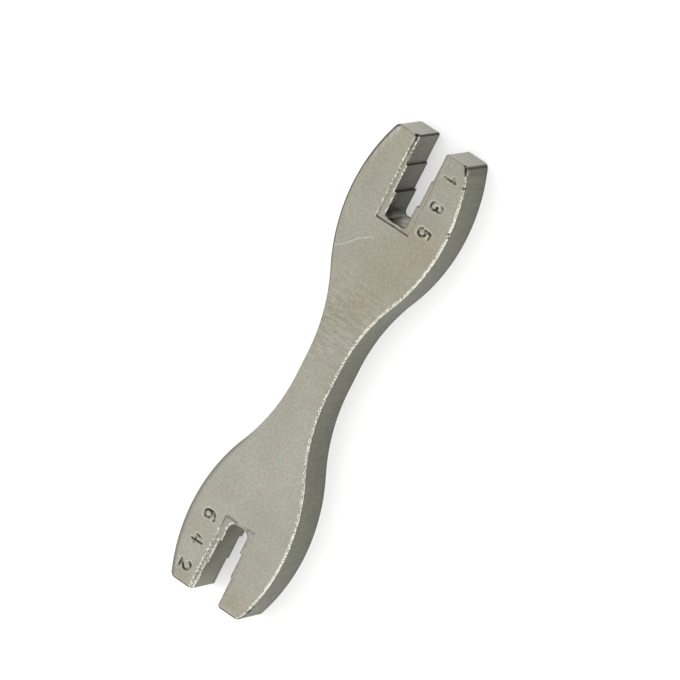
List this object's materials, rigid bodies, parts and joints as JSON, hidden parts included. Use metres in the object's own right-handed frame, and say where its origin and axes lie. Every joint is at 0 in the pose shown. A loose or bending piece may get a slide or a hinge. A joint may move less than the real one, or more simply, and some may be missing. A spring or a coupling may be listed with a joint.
{
  "type": "spoke wrench",
  "caption": "Flat double-ended spoke wrench with a stepped open slot at each end, a narrow waist and a satin nickel finish.",
  "frame": {"origin": "middle of the waist, on the plain back that the tool lies on", "axes": "+X along the tool towards the odd-numbered jaws, +Z out of the numbered face, +Y across the tool towards the arm with the even numbers"},
  "size_m": [0.1, 0.0222, 0.0091],
  "materials": {
    "nickel_plate": "satin nickel plate over cast or forged steel, worn brighter along its edges"
  },
  "bodies": {
    "root": {"wrench_body": "nickel_plate"}
  },
  "joints": []
}
